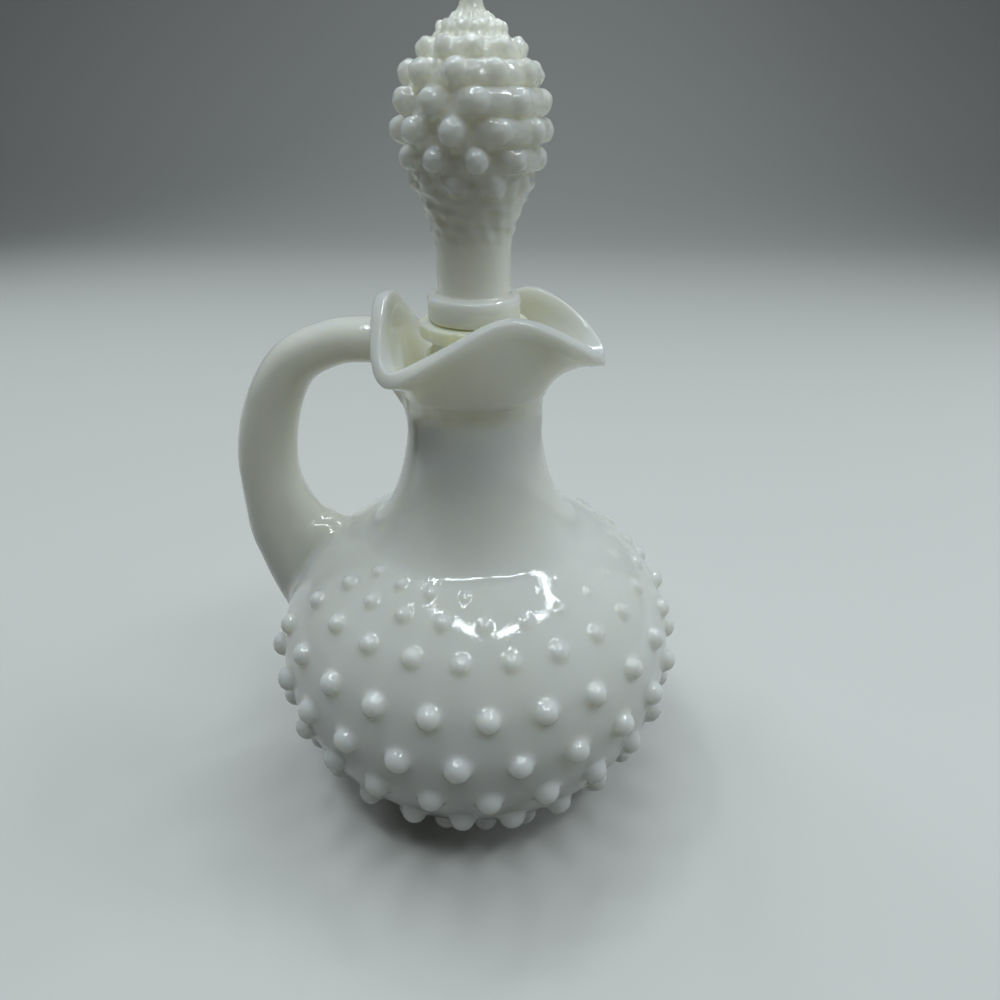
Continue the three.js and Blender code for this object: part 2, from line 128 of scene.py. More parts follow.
# Handle: head, bow as (outwards, place from the head to the landing), landing and root as (height, distance
# from the globe's side), and its half depths and half widths at the top, the grip and the foot
HEAD_RISE = 7.4
HEAD_ROOT = 11
HEAD_REACH = 19.5
HANDLE_BOW = [(26, 0.023), (33.9, 0.12), (39.3, 0.32), (41.9, 0.578), (40.6, 0.842)]
LANDING = (48.5, 3.8)
ROOT = (36.5, 9.5)
HANDLE_DEPTHS = (4, 6, 12)
HANDLE_WIDTHS = (4.6, 5.4, 7.2)
GRIP_SWELL = (0.12, 0.67)
FOOT_SPREAD = (0.6, 1)
HEAD_WEB = 10.6
HEAD_WEB_END = 0.088
FOOT_WEB = 4.5
HANDLE_FILLET = 2.2
SEAM_SOFTNESS = 1.8
SEAM_FACTOR = 0.5
SEAM_ROUNDS = 20
HANDLE_CLEAR_SIDE = 14.6
HANDLE_CLEAR_ABOVE = 30

# Stopper, from its seat
PLUG_RISE = 12.1
PLUG_TURN = math.radians(-2.7)
PEG_RADIUS = 5.4
PEG_TIP_RADIUS = 4.6
PEG_LENGTH = 30
COLLAR_RADIUS = 7.9
COLLAR_HEIGHT = 4.4
COLLAR_BEVEL = 0.4
COLLAR_GROOVE = 0.15
PEG_SOFTNESS = 0.6
SHANK_RADIUS = 6.1
CONE_START = 10.4
CONE_SHARPNESS = 0.8
FINIAL_RADIUS = 10.1
FINIAL_MID = 28.9
FINIAL_TOP = 44.9
FINIAL_FULLNESS = 2.3
KNOB_RADIUS = 1.4
KNOB_HEIGHT = 4

# Tiers of nails on the finial, from above the cone's start to below the top. The lowest tiers are faded, and
# a nail's radius is a share of the room beside it or of the pitch of the tiers, whichever is smaller.
TIERS = 8
TIERS_FROM = 7.5
TIERS_TO = 3.5
TIER_FADE = (-0.4, 3)
TIER_NAILS = 10
TIER_NAIL_FILL = 0.72
TIER_NAIL_PITCH = 2 / 3
TIER_NAIL_RISE = 2.3
TIER_NAIL_LEAST_RISE = 0.02
TIER_NAIL_FILLET = 0.4
TIER_NAIL_SPREAD = 0.04
TOP_TIER_SHARES = (0.9, 0.75)

# Between these angles of the stopper the nails of each tier run together into a band, which begins further
# back on each higher tier
BAND_FROM = (math.radians(-40), math.radians(-14))
BAND_LEAN = math.radians(15)
BAND_TO = (math.radians(40), math.radians(75))
BAND_SHARE = 0.7
BAND_FILLET = 0.5

# Wrinkles of the finial, as (waves round it, radians over 1 mm of height, share). They start on the lower
# tiers with a share of their depth and are full at the top.
WRINKLES = [(13, 1.9, 0.25), (-22, 2.6, 0.2), (31, 1.1, 0.15), (9, 4.1, 0.2), (-19, 4.6, 0.2)]
WRINKLE_DEPTH = 0.3
WRINKLE_START = (18, 24)
WRINKLE_FULL = (30, 40)
WRINKLE_REST = 0.35

# Unevenness of the cone below the tiers, as (waves round it, waves over 1 mm of height, share)
CONE_WAVES = [(7, 0.1, 0.3), (11, -0.2, 0.2), (4, 0.45, 0.3), (17, 0.15, 0.2)]
CONE_DEPTH = 0.3
CONE_SPAN = (11.5, 14.5, 21, 25)

# Plastic sleeve, with its depths below the seat. The upper fin is (depth, radius). The flange's edge is
# nicked by waves of these counts.
SLEEVE_LENGTH = 31
SLEEVE_WALL = 1.7
SLEEVE_SOFTNESS = 0.5
FLANGE_RADIUS = 9.3
FLANGE_HEIGHT = 2.4
FLANGE_WEAR = 0.35
FLANGE_NICKS = (9, 17, 29, 41)
NICK_LEVEL = 0.2
NICK_REACH = 1.2
NICK_BELOW = 0.2
UPPER_FIN = (6.2, 8.8)
BORE_FINS = (16, 21, 26)
FIN_ROOT = 1.3
FIN_TIP = 0.6
PEG_CLEARANCE = 0.2
SEAT_CLEARANCE = 0.1
BORE_CLEARANCE = 0.15

# Materials. Tint and roughness run between two stops of a ramp, along noise of (scale, detail). Light goes
# into the surface by (weight, radius, scale). The surface is uneven in layers of (noise, strength, depth in
# metres).
GLASS_TINT = ((45, 3), [(0.35, (0.87, 0.86, 0.78)), (0.65, (0.9, 0.89, 0.82))])
GLASS_ROUGHNESS = ((260, 4), [(0.3, (0.04, 0.04, 0.04)), (0.75, (0.09, 0.09, 0.09))])
GLASS_IOR = 1.52
GLASS_SPECULAR = 0.75
GLASS_SUBSURFACE = (0.9, (1, 0.93, 0.72), 0.006)
GLASS_LAYERS = [((75, 2), 1, 0.0002), ((420, 2), 1, 0.000015), ((2200, 1), 1, 0.000014)]
PLASTIC_TINT = ((300, 5), [(0.3, (0.96, 0.92, 0.58)), (0.7, (1, 0.98, 0.78))])
PLASTIC_ROUGHNESS = ((700, 3), [(0.3, (0.28, 0.28, 0.28)), (0.7, (0.5, 0.5, 0.5))])
PLASTIC_SUBSURFACE = (0.8, (1, 0.9, 0.35), 0.007)
PLASTIC_LAYERS = [((900, 4), 0.3, 0.0002)]

# Camera, in the frame that the photograph was fitted in, and how that frame is turned against the object's
CAMERA_BACK = 121.8
CAMERA_HEIGHT = 130.5
CAMERA_YAW = math.radians(2.21)
CAMERA_PITCH = math.radians(28.97)
CAMERA_ROLL = math.radians(0.55)
CAMERA_LENS = 26
CAMERA_SENSOR = 36
CAMERA_REACH = (0.005, 10)
PHOTO_TURN = math.radians(12.3)

# Lamps, in the photograph's frame: a ring overhead, and soft panels as (place, size, power) at the right and
# behind at the left. The room's colour differs between what is seen of it and the light that it throws.
RING_LAMPS = 5
RING_PLACE = (85, -10, 720)
RING_RADII = (335, 300)
RING_LAMP_SIZE = (370, 60)
RING_POWER = 5
RIGHT_PANEL = ((600, 60, 260), (420, 300), 0.9)
BACK_PANEL = ((-450, 350, 420), (300, 300), 0.8)
LAMP_COLOUR = (0.87, 0.97, 1)
ROOM_SEEN = (0.3, 0.32, 0.32)
ROOM_THROWN = (0.009, 0.01, 0.01)

# Floor that curves up into a backdrop, with a colour to be seen and one for the light it throws back
FLOOR_SIDE = 1600
BACKDROP_PLACE = 1100
BACKDROP_HEIGHT = 1500
BACKDROP_CURVE = 450
FLOOR_SEEN = (0.72, 0.71, 0.69)
FLOOR_THROWN = (0.12, 0.117, 0.11)
FLOOR_ROUGHNESS = 0.5

# Mesh density. Across the nails and a little beyond them, the globe's rows of points lie closer together,
# and so do those of the last steps of the lip. The hollow and the core have steps for the globe and for the
# sweep.
COLUMNS = 432
GLOBE_STEPS = 117
GLOBE_FINE_STEPS = 2000
NAIL_CROWDING = 2.6
NAIL_SURROUNDINGS = 1.15
NECK_STEPS = 18
HOLLOW_STEPS = (12, 4)
CORE_STEPS = (24, 10)
LIP_STEPS = 11
LIP_LAST_STEPS = 2
RIM_STEPS = 10
LIP_ROWS = LIP_STEPS - LIP_LAST_STEPS + RIM_STEPS
HANDLE_SIDES = 48
HANDLE_STEPS = 150
FINIAL_COLUMNS = 300
FINIAL_STEPS = 190
FINIAL_FINE_STEPS = 400
KNOB_FLARE_STEPS = 14
KNOB_CAP_STEPS = 8
PEG_STEP = 1.5
SLEEVE_COLUMNS = 240
SLEEVE_STEP = 1
BACKDROP_STEPS = 24
CORNER_SHARE = 0.45  # the most of an edge that the rounding of a corner takes up
KEY_DIGITS = 2  # corners are told apart by their places to so many digits of a millimetre
TINY = 0.01
SEED = 11


def smoothstep(x, low, high):
    t = np.clip((np.asarray(x, float) - low) / (high - low), 0, 1)
    return t * t * (3 - 2 * t)


def smootherstep(x, low, high):
    t = np.clip((np.asarray(x, float) - low) / (high - low), 0, 1)
    return t * t * t * (t * (6 * t - 15) + 10)


def mix(a, b, share):
    return a + (b - a) * share


def unit(vectors):
    return vectors / np.linalg.norm(vectors, axis=-1, keepdims=True)


def between(angle, start, end):
    """1 inside a range of angles and 0 outside it, with soft ends."""
    return smoothstep(angle, *start) * (1 - smoothstep(angle, *end))


def bezier(points, steps):
    """Points on a Bezier curve of any order, its ends included."""
    t = np.linspace(0, 1, steps + 1)[:, None]
    level = [np.asarray(p, float) * np.ones_like(t) for p in points]
    while len(level) > 1:
        level = [mix(a, b, t) for a, b in zip(level, level[1:])]
    return level[0]


def spline(points, samples=24):
    """A Catmull-Rom curve through points."""
    points = np.array(points, float)
    padded = np.vstack([points[:1], points, points[-1:]])
    t = np.linspace(0, 1, samples, endpoint=False)[:, None]
    pieces = []
    for a, b, c, d in zip(padded, padded[1:], padded[2:], padded[3:]):
        v, w = (c - a) / 2, (d - b) / 2
        pieces.append((2 * b - 2 * c + v + w) * t ** 3 + (-3 * b + 3 * c - 2 * v - w) * t ** 2 + v * t + b)
    return np.vstack([*pieces, points[-1:]])


def evenly(points, count):
    """Points spaced evenly along a line of points."""
    lengths = np.concatenate([[0], np.cumsum(np.linalg.norm(np.diff(points, axis=0), axis=1))])
    places = np.linspace(0, lengths[-1], count + 1)
    return np.stack([np.interp(places, lengths, axis) for axis in points.T], -1)


def rounded(outline, reach, steps=5):
    """An outline whose corners are rounded, starting at most reach before each corner."""
    points = [np.array(p, float) for p in outline]
    result = [points[0]]
    for before, corner, after in zip(points, points[1:], points[2:]):
        ends = []
        for other in (before, after):
            way = other - corner
            ends.append(corner + way * min(reach / np.linalg.norm(way), CORNER_SHARE))
        result.extend(bezier([ends[0], corner, ends[1]], steps))
    return np.array([*result, points[-1]])


def spaced(outline, step):
    """An outline cut into steps no longer than step."""
    result = [outline[0]]
    for start, end in zip(outline, outline[1:]):
        count = max(1, math.ceil(np.linalg.norm(end - start) / step))
        result.extend(mix(start, end, (i + 1) / count) for i in range(count))
    return np.array(result)


def round_angles(columns):
    return np.linspace(0, 2 * math.pi, columns, endpoint=False)


def turned(outline, columns):
    """Points [column, row] of an outline of (radius, height) turned about Z."""
    angle = round_angles(columns)[:, None]
    radius, height = np.asarray(outline, float).T
    return np.stack([radius * np.cos(angle), radius * np.sin(angle), height + 0 * angle], -1)


def angle_of(points):
    return np.arctan2(points[..., 1], points[..., 0])


def closed_mesh(name, points, low_pole=None, high_pole=None):
    """A closed mesh, in metres, from points [column, row]. Its first and last rows end in poles, or close on
    each other where there are none."""
    columns, rows = points.shape[:2]
    index = np.arange(columns * rows).reshape(columns, rows)
    beside = np.roll(index, -1, axis=0)
    faces = np.stack([index, beside, np.roll(beside, -1, 1), np.roll(index, -1, 1)], -1)
    corners = points.reshape(-1, 3)
    if low_pole is None:
        faces = faces.reshape(-1, 4).tolist()
    else:
        faces = faces[:, :-1].reshape(-1, 4).tolist()
        low, high = len(corners), len(corners) + 1
        faces += [[low, b, a] for a, b in zip(index[:, 0].tolist(), beside[:, 0].tolist())]
        faces += [[a, b, high] for a, b in zip(index[:, -1].tolist(), beside[:, -1].tolist())]
        corners = np.vstack([corners, low_pole, high_pole])
    mesh = bpy.data.meshes.new(name)
    mesh.from_pydata((corners * MM).tolist(), [], faces)
    piece = bpy.data.objects.new(name, mesh)
    bpy.context.scene.collection.objects.link(piece)
    return piece


def smooth(piece):
    piece.data.polygons.foreach_set("use_smooth", np.ones(len(piece.data.polygons), bool))
    piece.data.update()


def apply_modifiers(piece):
    graph = bpy.context.evaluated_depsgraph_get()
    mesh = bpy.data.meshes.new_from_object(piece.evaluated_get(graph))
    piece.modifiers.clear()
    old, piece.data = piece.data, mesh
    mesh.name = piece.name
    bpy.data.meshes.remove(old)


def combine(piece, operation, other):
    """Adds other to a piece or cuts it away from it, and removes other."""
    step = piece.modifiers.new(operation.lower(), "BOOLEAN")
    step.operation = operation
    step.solver = "MANIFOLD"
    step.object = other
    apply_modifiers(piece)
    bpy.data.objects.remove(other)


def dress(piece, body, nodes, material):
    """Hands a finished piece to the frame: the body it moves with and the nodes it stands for."""
    smooth(piece)
    piece.data.materials.clear()
    piece.data.materials.append(material)
    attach(piece, body)
    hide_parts(*nodes)


# The globe is two half-ellipses that meet at its widest height
FOOT_TURN = -math.acos((FOOT_RADIUS + FOOT_FLARE) / GLOBE_RADIUS)
SHOULDER_TURN = math.acos(SHOULDER_RADIUS / GLOBE_RADIUS)
GLOBE_MID = FOOT_HEIGHT - GLOBE_DROP * math.sin(FOOT_TURN)


def globe_half(turn, wall=0):
    return np.where(np.asarray(turn) > 0, GLOBE_RISE, GLOBE_DROP) - wall


def globe_outline(turn, wall=0):
    turn = np.asarray(turn, float)
    height = GLOBE_MID + globe_half(turn, wall) * np.sin(turn)
    return np.stack([(GLOBE_RADIUS - wall) * np.cos(turn), height], -1)


def globe_radius(height):
    above = height - GLOBE_MID
    return GLOBE_RADIUS * math.sqrt(1 - (above / float(globe_half(above))) ** 2)


def place_turn(place):
    """The turn of a place on the globe, from the top of the foot (0) to the shoulder (1)."""
    return mix(FOOT_TURN, SHOULDER_TURN, place)


def shoulder_sweep(shoulder, neck, steps):
    middles = [
        (mix(neck[0], shoulder[0], reach), mix(shoulder[1], neck[1], rise))
        for reach, rise in (SWEEP_LOW, SWEEP_HIGH)
    ]
    return bezier([shoulder, *middles, neck], steps)


def cap_height(distance, radius, rise):
    """How high a spherical nail stands at a distance from its middle. It is negative outside the nail."""
    ball = (radius ** 2 + rise ** 2) / (2 * rise)
    inside = np.sqrt(np.maximum(ball ** 2 - distance ** 2, 0)) - (ball - rise)
    return np.where(distance < ball, inside, rise - distance)


def soft_max(a, b, fillet):
    share = np.clip(0.5 + 0.5 * (a - b) / fillet, 0, 1)
    return mix(b, a, share) + fillet * share * (1 - share)


def nearest_nails(points, rows, count, spread):
    """For each staggered row of nails: the angle, the centre and the size of the nail nearest to each point.
    rows begin with the radius and the height on the skin, and the radius of the nails."""
    chance = np.random.default_rng(SEED)
    angle = angle_of(points)
    step = 2 * math.pi / count
    for row, (radius, height, nail, *_) in enumerate(rows):
        offset = step / 2 if row % 2 else 0
        size = 1 + spread * chance.uniform(-1, 1, count)
        shift = spread * nail * chance.uniform(-1, 1, (2, count))
        near = np.round((angle - offset) / step).astype(int) % count
        turn = near * step + offset
        moved = turn + shift[0][near] / radius
        centre = np.stack([radius * np.cos(moved), radius * np.sin(moved), height + shift[1][near]], -1)
        yield turn, centre, size[near]


NAIL_REACH = (NAIL_BALL + NAIL_FILLET) * math.sin(NAIL_STEEPNESS)
NAIL_HEIGHT = (NAIL_BALL + NAIL_FILLET) * (1 - math.cos(NAIL_STEEPNESS))


def nail_side(share):
    """A nail of radius 1, a flattened ball with a round fillet: distance from its axis and height, at a share
    of the way from its top to the end of its fillet."""
    way = share * NAIL_STEEPNESS * (NAIL_BALL + NAIL_FILLET)
    down = way / NAIL_BALL
    left = NAIL_STEEPNESS - (way - NAIL_BALL * NAIL_STEEPNESS) / NAIL_FILLET
    on_ball = down < NAIL_STEEPNESS
    distance = np.where(on_ball, NAIL_BALL * np.sin(down), NAIL_REACH - NAIL_FILLET * np.sin(left))
    height = np.where(on_ball, NAIL_HEIGHT - NAIL_BALL * (1 - np.cos(down)), NAIL_FILLET * (1 - np.cos(left)))
    return distance, height * NAIL_RISE / NAIL_HEIGHT


def globe_nail_strength(row, turn, centre):
    """Nails are missing behind the handle, and lower in the worn part of the highest rows."""
    behind = (centre[..., 0] < 0) & (np.abs(centre[..., 1]) < HANDLE_CLEAR_SIDE)
    behind &= centre[..., 2] > HANDLE_CLEAR_ABOVE
    angle = np.mod(turn + math.pi, 2 * math.pi) - math.pi
    worn = WORN_SHARES[row] * between(angle, WORN_FROM, WORN_TO)
    return np.where(behind, 0, 1 - worn)


def globe_turns():
    """The turns of the globe's rows of points, which are crowded across the nails."""
    turn = np.linspace(FOOT_TURN, SHOULDER_TURN, GLOBE_FINE_STEPS)
    outline = globe_outline(turn)
    closeness = np.ones(len(turn))
    for place, nail in NAIL_ROWS:
        distance = np.linalg.norm(outline - globe_outline(place_turn(place)), axis=-1)
        closeness[distance < NAIL_SURROUNDINGS * NAIL_REACH * nail] = NAIL_CROWDING
    steps = np.cumsum(closeness * np.linalg.norm(np.gradient(outline, axis=0), axis=-1))
    return np.interp(np.linspace(steps[0], steps[-1], GLOBE_STEPS + 1), steps, turn)


def globe_skin():
    """The globe with its nails. Points near a nail move along and away from the globe, onto its side."""
    turn = globe_turns()
    bare = turned(globe_outline(turn), COLUMNS)
    outward = unit(np.stack([np.cos(turn) / GLOBE_RADIUS, np.sin(turn) / globe_half(turn)], -1))
    outward = turned(outward, COLUMNS)
    rows = [(*globe_outline(place_turn(place)), nail) for place, nail in NAIL_ROWS]
    skin = bare.copy()
    for row, (turn, centre, size) in enumerate(nearest_nails(bare, rows, NAILS_ROUND, NAIL_SPREAD)):
        nail = rows[row][2] * size[..., None]
        way = bare - centre
        distance = np.linalg.norm(way, axis=-1, keepdims=True)
        share = distance / (NAIL_REACH * nail)
        moved, height = nail_side(np.minimum(share, 1))
        step = way * (moved * nail / np.maximum(distance, TINY) - 1) + outward * height * nail
        skin += np.where(share < 1, globe_nail_strength(row, turn, centre)[..., None], 0) * step
    return skin


def lip_middle():
    """The middle of the lip's wall, as points [column, row] from neck to rim, and half its thickness."""
    angle = round_angles(COLUMNS)[:, None]
    wave = np.sin(FOLDS / 2 * (angle + FOLD_SKEW * np.sin(2 * angle)))
    fold = (np.hypot(wave, VALLEY_WIDTH) - VALLEY_WIDTH) / (math.hypot(1, VALLEY_WIDTH) - VALLEY_WIDTH)
    spout = np.maximum(0, np.cos(angle)) ** SPOUT_SHARPNESS
    back = np.maximum(0, -np.cos(angle)) ** BACK_SHARPNESS
    fold = fold * (1 - SPOUT_CHANNEL * spout)
    half = LIP_WALL / 2 * (1 - SPOUT_THINNING * spout)
    start = np.array([NECK_RADIUS + LIP_STEP, 0]) + 0 * angle
    belly = mix(np.array(LOW_BELLY), np.array(FOLD_BELLY), fold) + np.array(SPOUT_BELLY) * spout
    rim = mix(np.array(LOW_RIM), np.array(FOLD_RIM), fold)
    rim = rim + np.array(SPOUT_RIM) * spout + np.array(BACK_FOLD) * back
    even = np.linspace(0, 1, LIP_STEPS + 1)
    last = LIP_STEPS - LIP_LAST_STEPS
    t = np.concatenate([even[:last], np.linspace(even[last], 1, RIM_STEPS)])[None, :, None]
    start, belly, rim = (corner[:, None, :] for corner in (start, belly, rim))
    outer = start * (1 - t) ** 2 + 2 * belly * t * (1 - t) + rim * t ** 2
    along = unit(2 * (belly - start) * (1 - t) + 2 * (rim - belly) * t)
    inwards = np.stack([-along[..., 1], along[..., 0]], -1)
    radius, height = np.moveaxis(outer + inwards * half[..., None], -1, 0)
    middle = np.stack([radius * np.cos(angle), radius * np.sin(angle), NECK_TOP + height], -1)
    return middle, half[..., None]


def lip_skin():
    """The lip's outer side with the bead along its edge, its rim and its inner side."""
    middle, half = lip_middle()
    to_rim = np.linalg.norm(middle[:, -1:] - middle, axis=-1, keepdims=True)
    half = half + RIM_BEAD * (1 - smoothstep(to_rim, *RIM_BEAD_DEPTH))
    round_way = unit(np.roll(middle, -1, 0) - np.roll(middle, 1, 0))
    outward = unit(np.cross(round_way, np.gradient(middle, axis=1)))
    edge = unit(np.cross(outward[:, -1], round_way[:, -1]))
    rim = []
    for turn in np.linspace(0, math.pi, RIM_STEPS + 1)[1:-1]:
        across = math.copysign(abs(math.cos(turn)) ** RIM_SQUARENESS, math.cos(turn))
        along = RIM_BULGE * math.sin(turn) ** RIM_SQUARENESS
        rim.append(middle[:, -1] + half[:, -1] * (across * outward[:, -1] + along * edge))
    return np.concatenate([
        middle + half * outward, np.stack(rim, 1), (middle - half * outward)[:, ::-1],
    ], 1)


def foot_skin():
    outline = [
        (0, PUNT_DEPTH), (FOOT_RADIUS - FOOT_RIM - PUNT_DEPTH, PUNT_DEPTH), (FOOT_RADIUS - FOOT_RIM, 0),
        (FOOT_RADIUS, 0), globe_outline(FOOT_TURN),
    ]
    return turned(rounded(outline, FOOT_SOFTNESS, 3)[1:-1], COLUMNS)


def neck_skin():
    low = (NECK_RADIUS, NECK_TOP - NECK_STRAIGHT)
    sweep = shoulder_sweep(globe_outline(SHOULDER_TURN), low, NECK_STEPS)[1:]
    return turned([*sweep, (NECK_RADIUS, NECK_TOP - NECK_STRAIGHT / 2), (NECK_RADIUS, NECK_TOP)], COLUMNS)


def hollow_skin():
    globe_steps, sweep_steps = HOLLOW_STEPS
    bore_low = (BORE_LOW_RADIUS, NECK_TOP - BORE_LENGTH)
    top = float(globe_outline(place_turn(HOLLOW_TOP))[1])
    top_turn = math.asin((top - GLOBE_MID) / (GLOBE_RISE - GLOBE_WALL))
    floor_turn = math.asin((FLOOR_HEIGHT - GLOBE_MID) / (GLOBE_DROP - GLOBE_WALL))
    globe = globe_outline(np.linspace(top_turn, floor_turn, globe_steps), GLOBE_WALL)
    sweep = shoulder_sweep(globe[0], bore_low, sweep_steps)[::-1][:-1]
    return turned([(BORE_TOP_RADIUS, NECK_TOP), *sweep, *globe, (FLOOR_RADIUS, FLOOR_HEIGHT)], COLUMNS)


def bottle_body():
    skins = [foot_skin(), globe_skin(), neck_skin(), lip_skin(), hollow_skin()]
    return closed_mesh("vessel_glass", np.concatenate(skins, 1), (0, 0, PUNT_DEPTH), (0, 0, FLOOR_HEIGHT))


def bottle_core():
    """The room inside the middle of the bottle's wall. The handle ends where it begins."""
    globe_steps, sweep_steps = CORE_STEPS
    globe = globe_outline(np.linspace(FOOT_TURN, SHOULDER_TURN, globe_steps), GLOBE_WALL / 2)
    radius = NECK_RADIUS - LIP_WALL / 2
    sweep = shoulder_sweep(globe[-1], (radius, NECK_TOP - NECK_STRAIGHT), sweep_steps)[1:]
    middle, _ = lip_middle()
    points = np.concatenate([turned([*globe, *sweep], COLUMNS), middle], 1)
    return closed_mesh("core", points, (0, 0, points[0, 0, 2]), (0, 0, middle[..., 2].max()))


def back_outline():
    """The bottle's bare outside at the handle, as (radius, height)."""
    back = COLUMNS // 2
    globe = globe_outline(np.linspace(FOOT_TURN, SHOULDER_TURN, GLOBE_STEPS + 1))
    skins = [neck_skin()[back], lip_skin()[back, :LIP_ROWS]]
    return np.concatenate([globe, *[np.stack([np.hypot(s[:, 0], s[:, 1]), s[:, 2]], -1) for s in skins]])


def distance_outside(points, outline):
    """How far points of (radius, height) are outside an outline that runs upwards. It is 0 inside."""
    start, way = outline[:-1], np.diff(outline, axis=0)
    offset = points[..., None, :] - start
    share = np.clip((offset * way).sum(-1) / (way ** 2).sum(-1), 0, 1)
    distance = np.linalg.norm(offset - way * share[..., None], axis=-1).min(-1)
    inside = points[..., 0] < np.interp(points[..., 1], outline[:, 1], outline[:, 0])
    return np.where(inside, 0, distance)


def handle_line():
    head = NECK_TOP + HEAD_RISE
    bow = [(-out, mix(head, LANDING[0], place)) for out, place in HANDLE_BOW]
    landing = (-globe_radius(LANDING[0]) - LANDING[1], LANDING[0])
    root = (-globe_radius(ROOT[0]) + ROOT[1], ROOT[0])
    return evenly(spline([(-HEAD_ROOT, head), (-HEAD_REACH, head), *bow, landing, root]), HANDLE_STEPS)


def handle_bar():
    """A bar of glass with webs at both ends of its inner side, which flares out where it meets the bottle."""
    middle = handle_line()
    along = unit(np.gradient(middle, axis=0))
    t = np.linspace(0, 1, HANDLE_STEPS + 1)
    swell, spread = smoothstep(t, *GRIP_SWELL), smoothstep(t, *FOOT_SPREAD)
    depth, width = (
        mix(mix(top, grip, swell), foot, spread) for top, grip, foot in (HANDLE_DEPTHS, HANDLE_WIDTHS)
    )
    web = HEAD_WEB * np.maximum(0, 1 - t / HEAD_WEB_END) + FOOT_WEB * spread
    turn = round_angles(HANDLE_SIDES)[:, None]
    inwards, side = np.cos(turn), np.sin(turn)
    reach = inwards * np.where(inwards > 0, depth + web, depth)

    def section(reach, side):
        return middle[:, 0] - along[:, 1] * reach, side, middle[:, 1] + along[:, 0] * reach

    x, y, z = section(reach, width * side)
    distance = distance_outside(np.stack([np.hypot(x, y), z], -1), back_outline())
    gap = np.clip(HANDLE_FILLET - distance, 0, HANDLE_FILLET)
    sharp = np.maximum(0, inwards) * (1 - smoothstep(t, 0, HEAD_WEB_END))
    flare = (HANDLE_FILLET - np.sqrt(HANDLE_FILLET ** 2 - gap ** 2)) * np.minimum(1 - sharp, 1 + inwards)
    x, y, z = section(reach + flare * inwards, (width + flare) * side)
    ends = [(x_end, 0, z_end) for x_end, z_end in (middle[0], middle[-1])]
    return closed_mesh("handle_bar", np.stack([x, y, z], -1)[::-1], *ends)


def corners_of(piece):
    """The corners of a piece, in metres, and their rounded places, by which they are known again."""
    corners = np.empty(len(piece.data.vertices) * 3)
    piece.data.vertices.foreach_get("co", corners)
    corners = corners.reshape(-1, 3)
    return corners, list(map(tuple, np.round(corners / MM, KEY_DIGITS)))


def soften_seam(piece, known):
    """Smooths a joined piece near the corners that the join has made. known holds all the other corners."""
    corners, keys = corners_of(piece)
    made = [corner for corner, key in zip(corners, keys) if key not in known]
    seam = kdtree.KDTree(len(made))
    for i, corner in enumerate(made):
        seam.insert(corner, i)
    seam.balance()
    group = piece.vertex_groups.new(name="seam")
    reach = SEAM_SOFTNESS * MM
    for i, corner in enumerate(corners):
        distance = seam.find(corner)[2]
        if distance < reach:
            group.add([i], float(1 - smoothstep(distance, 0, reach)), "REPLACE")
    step = piece.modifiers.new("soften", "SMOOTH")
    step.vertex_group = "seam"
    step.factor = SEAM_FACTOR
    step.iterations = SEAM_ROUNDS
    apply_modifiers(piece)


def vessel_glass(material):
    """Bottle and handle, fused into one piece of glass."""
    body = bottle_body()
    handle = handle_bar()
    combine(handle, "DIFFERENCE", bottle_core())
    known = {*corners_of(body)[1], *corners_of(handle)[1]}
    combine(body, "UNION", handle)
    soften_seam(body, known)
    dress(body, "vessel", ["bottle", "handle"], material)


def finial_radius(height):
    height = np.asarray(height, float)
    cone = mix(SHANK_RADIUS, FINIAL_RADIUS, smootherstep(height, CONE_START, FINIAL_MID) ** CONE_SHARPNESS)
    above = np.clip((height - FINIAL_MID) / (FINIAL_TOP - FINIAL_MID), 0, 1)
    return np.where(height < FINIAL_MID, cone, FINIAL_RADIUS * (1 - above ** FINIAL_FULLNESS))


def finial_outline(low, high, count):
    """Points evenly spaced along the finial's outline between two heights."""
    height = np.linspace(low, high, FINIAL_FINE_STEPS)
    return evenly(np.stack([finial_radius(height), height], -1), count)


def finial_rows():
    """The tiers of nails, from below: radius and height on the skin, and the nails' radius and rise."""
    tiers = finial_outline(CONE_START + TIERS_FROM, FINIAL_TOP - TIERS_TO, TIERS - 1)
    pitch = np.linalg.norm(tiers[1] - tiers[0])
    rows = []
    swells = smoothstep(np.arange(TIERS), *TIER_FADE)
    swells[-len(TOP_TIER_SHARES):] *= TOP_TIER_SHARES
    for swell, (radius, height) in zip(swells.tolist(), tiers):
        nail = TIER_NAIL_FILL * min(math.pi * radius / TIER_NAILS, TIER_NAIL_PITCH * pitch)
        rise = max(TIER_NAIL_RISE * swell * radius / FINIAL_RADIUS, TIER_NAIL_LEAST_RISE)
        rows.append((radius, height, nail, rise))
    return rows


def bands(points, outline, rows):
    """How far the bands between the nails of each tier raise the skin."""
    angle = angle_of(points)
    raised = np.zeros(points.shape[:-1])
    for tier, (radius, height, nail, rise) in enumerate(rows):
        lean = BAND_LEAN * tier
        share = BAND_SHARE * between(angle, [start - lean for start in BAND_FROM], BAND_TO)
        band = cap_height(np.linalg.norm(outline - (radius, height), axis=-1), nail, rise)
        raised = soft_max(mix(-BAND_FILLET, band, share), raised, BAND_FILLET)
    return raised


def wrinkles(points):
    """Fine wrinkles in the tiers, deepest at the finial's tip, where the glass was pinched off."""
    chance = np.random.default_rng(SEED + 1)
    angle, height = angle_of(points), points[..., 2]
    waves = sum(
        share * np.sin(count * angle + rise * height + chance.uniform(0, 2 * math.pi))
        for count, rise, share in WRINKLES
    )
    return WRINKLE_DEPTH * waves * mix(WRINKLE_REST, 1, smoothstep(height, *WRINKLE_FULL))


